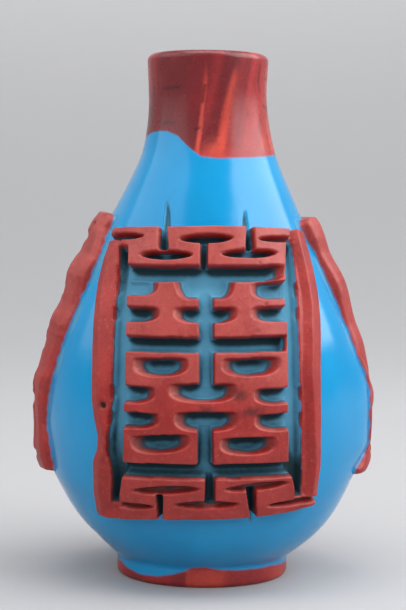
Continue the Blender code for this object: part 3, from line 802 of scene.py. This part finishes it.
# Height of the relief's outermost line up each side, from the bottom
leftCrown = ((14.7, 1.7), (15.9, 1.9), (16.5, 2.0), (17.9, 1.94), (18.8, 1.77), (20.1, 1.68),
             (21.8, 1.71), (23.0, 1.87), (24.0, 1.95), (24.9, 1.87), (25.6, 2.0), (26.7, 1.88),
             (27.7, 1.55), (28.9, 1.45), (31.5, 1.43), (32.4, 1.57), (33.0, 1.52), (33.6, 1.61),
             (34.7, 1.54), (35.6, 1.32), (36.5, 1.25), (38.5, 1.61), (40.0, 2.0), (40.9, 1.98),
             (42.1, 1.75), (42.9, 1.49), (44.2, 1.61), (45.8, 1.95), (46.8, 1.95), (48.2, 1.6))
rightCrown = ((14.3, 1.42), (15.1, 1.72), (15.9, 1.92), (16.8, 1.98), (17.7, 1.74), (18.4, 1.49),
              (19.3, 1.31), (21.9, 1.29), (22.8, 1.49), (23.6, 1.70), (24.5, 1.81), (25.5, 1.63),
              (26.4, 1.39), (31.0, 1.42), (31.8, 1.39), (32.8, 1.30), (34.1, 1.20), (35.4, 1.28),
              (36.7, 1.51), (38.0, 1.75), (39.4, 1.89), (40.7, 1.79), (42.0, 1.57), (43.3, 1.52),
              (45.3, 1.90), (46.7, 2.0), (48.2, 1.7))
rightPanel = sidePanel(
    right, ((15.2, 5.4), (16.0, 4.4), (17.2, 3.6), (18.5, 3.3), (20.0, 3.8), (22.0, 4.2),
            (24.0, 4.0), (25.3, 3.8), (26.7, 3.8), (28.0, 4.4), (29.8, 5.1), (33.0, 4.95),
            (43.8, 4.9), (45.0, 5.2), (47.0, 5.4)),
    ((14.2, -7.9), (20.0, -8.0), (40.0, -8.2), (48.4, -7.6)), 1.4,
    ((0.0, 0.9), (0.9, 0.4), (2.6, 0.0)), 48.0, rightCrown, 61)
leftPanel = sidePanel(
    left, ((15.4, 5.0), (17.2, 5.3), (18.7, 5.2), (20.6, 4.6), (22.6, 4.8), (24.6, 5.1), (25.9, 5.5),
           (27.7, 6.1), (29.6, 6.5), (31.9, 6.9), (33.9, 7.1), (37.4, 7.0), (39.4, 6.9), (42.0, 6.5),
           (43.7, 6.2), (45.2, 5.5), (46.5, 4.8)),
    ((14.2, -6.2), (20.0, -6.4), (40.0, -6.6), (48.4, -6.0)), 0.6,
    ((0.0, 1.3), (1.2, 0.55), (4.2, 0.0)), 48.5, leftCrown, 81)

panels = {"front_panel": (front, frontPanel), "right_panel": (right, rightPanel),
          "back_panel": (back, backPanel), "left_panel": (left, leftPanel)}
pieces = [carvedPanel(name, facing, plan) for name, (facing, plan) in panels.items()]
print("panels carved")


def besidePanels(turn, level):
    # how far the body is let in under the panels and their nicks, and where it was ground dull beside them
    bed, rim = np.full(turn.shape, relief["outside"]), np.zeros(turn.shape)
    halfWidth, halfDepth = halfAxes(level)
    for facing, plan in panels.values():
        radius = halfWidth if facing in (front, back) else halfDepth
        away = (turn - facing * math.pi / 2 + math.pi) % (2 * math.pi) - math.pi
        near = np.abs(away) < relief["nearTurn"]
        u, v = leaned(away * radius, level, plan)
        inside = np.where(near, panelInside(u, v, plan), relief["outside"])
        bed = np.maximum(bed, inside)
        reach, strength = plan["rim"]
        reach = reach * line(relief["rimReach"], level)
        steady, varied = relief["rimShares"]
        strength = strength * (steady + varied * ripple(u, v, relief["rimLength"], plan["seed"] + 7))
        strength = strength * smoothStep(*relief["rimEnds"], v)
        rim = np.maximum(rim, strength * smoothStep(*relief["rimFades"], inside / reach))
        for nick in plan["nicks"]:
            under = bottle["nickBed"] - nickDistance(u, v, nick)
            bed = np.maximum(bed, np.where(near, under, relief["outside"]))
    sunk = smoothStep(bottle["bedInset"], bottle["bedInset"] + bottle["bedRun"], bed)
    return bottle["bedDepth"] * sunk, rim


def corner(outer, inner, start, end, steps):
    # quarter round between two rings, from upright to level
    rows = []
    for k in range(steps + 1):
        turn = math.pi / 2 * k / steps
        level = start + (end - start) * math.sin(turn)
        rows.append((*[a + (b - a) * (1 - math.cos(turn)) for a, b in zip(outer, inner)], level))
    return rows


def evenRows(start, end, count):
    return [tuple(a + (b - a) * k / count for a, b in zip(start, end)) for k in range(count)]


def neckMarks(turn, level):
    # how bright the drawn-out streaks are, and where the fine dark lines run
    around = (np.degrees(turn) + 180) % 360 - 180
    bright, dark = 0 * around, 0 * around
    for lowTurn, lowLevel, highTurn, highLevel, spread, lowStrength, highStrength in neckGlass["streaks"]:
        share = np.clip((level - lowLevel) / (highLevel - lowLevel), 0, 1)
        away = (around - lowTurn - (highTurn - lowTurn) * share + 180) % 360 - 180
        strength = lowStrength + (highStrength - lowStrength) * share
        fade = neckGlass["streakFade"]
        strength = strength * smoothStep(highLevel + fade, highLevel - fade, level)
        bright = np.maximum(bright, strength * np.exp(-(away / spread) ** 2))
    across = math.radians(bottle["neckWidth"] / 2)
    for thread in neckGlass["threads"]:
        for (startTurn, startLevel), (endTurn, endLevel) in zip(thread, thread[1:]):
            piece = (startTurn * across, startLevel, endTurn * across, endLevel)
            away = nickDistance(around * across, level, piece)
            dark = np.maximum(dark, np.exp(-(away / neckGlass["threadWidth"]) ** 2))
    return bright, dark


def bottleBody():
    height, neckLevel = bottle["height"], bottle["height"] - bottle["neckLength"]
    foot = (bottle["footWidth"] / 2, bottle["footDepth"] / 2)
    hollow = tuple(r - bottle["footRing"] for r in foot)
    footFlat = tuple(r - bottle["footRounding"] for r in foot)
    lip, bore = (bottle["lipWidth"] / 2,) * 2, (bottle["mouthBore"] / 2,) * 2
    lipFlat = tuple(r - bottle["lipRounding"] for r in lip)
    boreFlat = tuple(r + bottle["mouthRounding"] for r in bore)

    # rows from the middle of the foot's hollow, up the outside, over the lip and down the inside
    gap, steps = bottle["middleGap"], bottle["rows"]
    hollowFlat = [r - bottle["hollowRounding"] for r in hollow]
    ring = [r + bottle["ringRounding"] for r in hollow]
    hollowTop, hollowSide = bottle["footHollow"], bottle["footHollow"] - bottle["hollowRounding"]
    rows = evenRows((gap, gap, hollowTop), (*hollowFlat, hollowTop), steps["hollow"])
    rows += reversed(corner(hollow, hollowFlat, hollowSide, hollowTop, steps["hollowCorner"]))
    rows += corner(hollow, ring, bottle["ringRounding"], 0.0, steps["ringCorner"])
    rows += evenRows((*ring, 0.0), (*footFlat, 0.0), steps["ring"])[1:]
    rows += reversed(corner(foot, footFlat, bottle["footRounding"], 0.0, steps["footCorner"]))
    rows += evenRows((*foot, bottle["footRounding"]), (*foot, bottle["footHeight"]), steps["foot"])[1:]
    outside = len(rows)
    levels = np.concatenate([
        np.arange(bottle["footHeight"], neckGlass["from"], bottle["rowStep"]),
        np.arange(neckGlass["from"], height - bottle["lipRounding"], neckGlass["rowStep"])])
    rows += [(*halfAxes(z), z) for z in levels]
    rows += corner(lip, lipFlat, height - bottle["lipRounding"], height, steps["lipCorner"])
    rows += evenRows((*lipFlat, height), (*boreFlat, height), steps["lip"])[1:]
    boreTop = height - bottle["mouthRounding"]
    rows += reversed(corner(bore, boreFlat, boreTop, height, steps["boreCorner"]))
    inward = len(rows)
    rows += evenRows((*bore, boreTop), (*bore, neckLevel), steps["bore"])[1:]
    count = int((neckLevel - bottle["baseLevel"]) / bottle["innerRowStep"])
    for k in range(count + 1):
        z = neckLevel + (bottle["baseLevel"] - neckLevel) * math.sin(math.pi / 2 * k / count)
        rows.append((*innerHalfAxes(z), z))
    rows += evenRows(rows[-1], (gap, gap, bottle["baseLevel"]), steps["floor"])[1:]

    rows = np.array([[float(x) for x in row] for row in rows])
    turn = np.arange(bottle["segments"]) * 2 * math.pi / bottle["segments"]
    sine, cosine = np.sin(turn)[None, :], np.cos(turn)[None, :]
    halfWidth, halfDepth, level = (rows[:, k][:, None] for k in range(3))
    points = np.stack([halfWidth * sine, -halfDepth * cosine, level + 0 * sine], -1)

    # the outside, between foot and lip, takes the unevenness and the beds of the panels
    wall = slice(outside, outside + len(levels))
    around, up = np.broadcast_arrays(turn[None, :], level[wall])
    bed, rim = besidePanels(around, up)
    points[wall] = wallSpot(around, up, groundHeight(around, up) - bed)

    # where the red glass ends: round the neck and the foot, under the foot, and on the lip
    degrees, z = (np.degrees(turn) + 180) % 360 - 180, points[..., 2]
    neckEnd = np.interp(degrees, redEnds["neckTurns"], redEnds["neckLevels"])[None, :]
    footEnd = np.interp(degrees, redEnds["footTurns"], redEnds["footLevels"])[None, :]
    redMark = np.maximum(z - neckEnd, footEnd - z)
    reach = np.hypot(halfWidth * sine, halfDepth * cosine)
    footReach = np.hypot(foot[0] * sine, foot[1] * cosine)
    redMark[:outside] = np.minimum(redMark, reach - (footReach - redEnds["ringRed"]))[:outside]
    over = slice(outside + len(levels), inward)
    redMark[over] = np.minimum(redMark, reach - redEnds["lipRed"])[over]
    redMark[inward:] = -1.0
    neck = smoothStep(*neckGlass["neckSetsIn"], z)
    neck = neck + smoothStep(*neckGlass["footSetsIn"], z) * neckGlass["footShare"]
    bright, dark = neckMarks(turn[None, :], z)
    marks = {"red": redMark, "cut": np.zeros_like(z), "neck": neck, "streak": bright, "thread": dark}
    marks["cut"][wall], marks["cut"][inward:] = rim, bottle["innerDull"]

    count, across = len(rows), bottle["segments"]
    index = np.arange(count * across).reshape(count, across)
    after = np.roll(index, -1, axis=1)
    faces = np.stack([index[:-1], after[:-1], after[1:], index[1:]], -1).reshape(-1, 4).tolist()
    points = points.reshape(-1, 3)
    poles = np.array([[0, 0, bottle["footHollow"]], [0, 0, bottle["baseLevel"]]])
    points = np.concatenate([points, poles])
    for key in marks:
        marks[key] = np.concatenate([marks[key].ravel(), [-1.0 if key == "red" else 0.0] * 2])
    low, high = count * across, count * across + 1
    faces += [[low, int(after[0, k]), int(index[0, k])] for k in range(across)]
    faces += [[high, int(index[-1, k]), int(after[-1, k])] for k in range(across)]
    print("bottle_body", len(faces) * 2 - 2 * across, "triangles")
    return addPiece("bottle_body", points, faces, marks)


body = bottleBody()
pieces.append(body)
for piece in pieces:
    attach(piece, "root")
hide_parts("overlay_glass_bottle")
print("body turned")


studio = {
    "bowlFlat": 0.3, "bowlRadius": 1.1, "bowlRise": 1.4, "flatSteps": 6, "curveSteps": 24, "segments": 96,
    "floorColour": (0.36, 0.36, 0.37, 1.0), "wallColour": (0.80, 0.80, 0.81, 1.0), "paperRoughness": 0.9,
    "wallColourSetsIn": (0.0, 0.5),
    "world": (0.30, 0.31, 0.33, 1.0), "worldStrength": 0.55, "aim": (0, 0, 0.035),
    # softboxes: turn from the front to the right, elevation, distance, width, height, watts
    "lights": {
        "right_softbox": (80.0, 37.0, 0.45, 0.57, 0.39, 3.0),
        "left_softbox": (-74.0, 36.0, 0.45, 0.56, 0.40, 1.0),
        "top_softbox": (0.0, 76.0, 0.45, 0.42, 0.24, 1.5),
        "front_softbox": (-4.0, 26.0, 0.55, 0.46, 0.20, 1.0),
    },
    # hangs over the bottle and lights the wall behind it: depth, level, width, height, watts
    "wallLamp": (0.25, 0.85, 0.60, 0.30, 5.0), "wallAim": (0.0, 1.1, 0.3),
}


def studioBowl():
    # a flat floor that curves up all round
    flat, radius = studio["bowlFlat"], studio["bowlRadius"]
    curve, segments = studio["curveSteps"], studio["segments"]
    profile = [(flat * k / studio["flatSteps"], 0.0) for k in range(studio["flatSteps"] + 1)]
    profile += [(flat + (radius - flat) * math.sin(math.pi / 2 * k / curve),
                 (radius - flat) * (1 - math.cos(math.pi / 2 * k / curve))) for k in range(1, curve + 1)]
    profile.append((radius, radius * studio["bowlRise"]))
    points = [(r * math.cos(2 * math.pi * k / segments), r * math.sin(2 * math.pi * k / segments), z)
              for r, z in profile[1:] for k in range(segments)]
    points.append((0.0, 0.0, 0.0))
    faces = [(len(points) - 1, k, (k + 1) % segments) for k in range(segments)]
    for r in range(len(profile) - 2):
        for k in range(segments):
            after = (k + 1) % segments
            faces.append((r * segments + k, (r + 1) * segments + k,
                          (r + 1) * segments + after, r * segments + after))
    mesh = bpy.data.meshes.new("studio_bowl")
    mesh.from_pydata(points, [], faces)
    mesh.shade_smooth()
    bowl = bpy.data.objects.new("studio_bowl", mesh)
    bpy.context.scene.collection.objects.link(bowl)
    recipe = Recipe("studio_paper")
    where = recipe.node("ShaderNodeTexCoord", out="Object")
    height = recipe.node("ShaderNodeSeparateXYZ", {}, {"Vector": where}, out="Z")
    share = recipe.between(height, *studio["wallColourSetsIn"])
    mesh.materials.append(recipe.finish(recipe.node("ShaderNodeBsdfPrincipled", {}, {
        "Base Color": recipe.blend(share, studio["floorColour"], studio["wallColour"]),
        "Roughness": studio["paperRoughness"]})))


def softbox(name, place, aim, width, height, watts):
    lamp = bpy.data.lights.new(name, "AREA")
    lamp.shape, lamp.size, lamp.size_y, lamp.energy = "RECTANGLE", width, height, watts
    light = bpy.data.objects.new(name, lamp)
    light.location = place
    light.rotation_euler = (place - aim).to_track_quat("Z", "Y").to_euler()
    light.visible_camera = False
    bpy.context.scene.collection.objects.link(light)


def lightStudio():
    middle = Vector(studio["aim"])
    for name, (turn, elevation, distance, width, height, watts) in studio["lights"].items():
        a, e = math.radians(turn), math.radians(elevation)
        away = Vector((math.sin(a) * math.cos(e), -math.cos(a) * math.cos(e), math.sin(e)))
        softbox(name, middle + away * distance, middle, width, height, watts)
    depth, level, *size = studio["wallLamp"]
    softbox("wall_lamp", Vector((0, depth, level)), Vector(studio["wallAim"]), *size)
    # the front softbox fills in the shadows, but leaves no shine
    bpy.data.objects["front_softbox"].visible_glossy = False
    world = bpy.data.worlds.new("studio_air")
    world.use_nodes = True
    air = world.node_tree.nodes["Background"].inputs
    air["Color"].default_value, air["Strength"].default_value = studio["world"], studio["worldStrength"]
    bpy.context.scene.world = world


studioBowl()
lightStudio()
print("studio lit")

# The camera stands a little to the left of the bottle's front and looks slightly down
camera = {"turn": -1.6, "distance": 0.210, "level": 0.0496, "pitch": 3.6, "aim": 0.074, "roll": 0.7,
          "lens": 91.6, "sensor": 36.0, "clip": (0.01, 10.0)}
lens = bpy.data.cameras.new("camera")
lens.lens, lens.sensor_width, lens.sensor_fit = camera["lens"], camera["sensor"], "AUTO"
lens.clip_start, lens.clip_end = camera["clip"]
viewer = bpy.data.objects.new("camera", lens)
stand, distance = math.radians(camera["turn"]), camera["distance"]
viewer.location = (math.sin(stand) * distance, -math.cos(stand) * distance, camera["level"])
aimed = Euler((math.radians(90 - camera["pitch"]), 0.0, stand + math.radians(camera["aim"]))).to_matrix()
viewer.rotation_euler = (aimed @ Matrix.Rotation(math.radians(camera["roll"]), 3, "Z")).to_euler()
bpy.context.scene.collection.objects.link(viewer)
bpy.context.scene.camera = viewer
bpy.context.scene.view_settings.view_transform = "Standard"
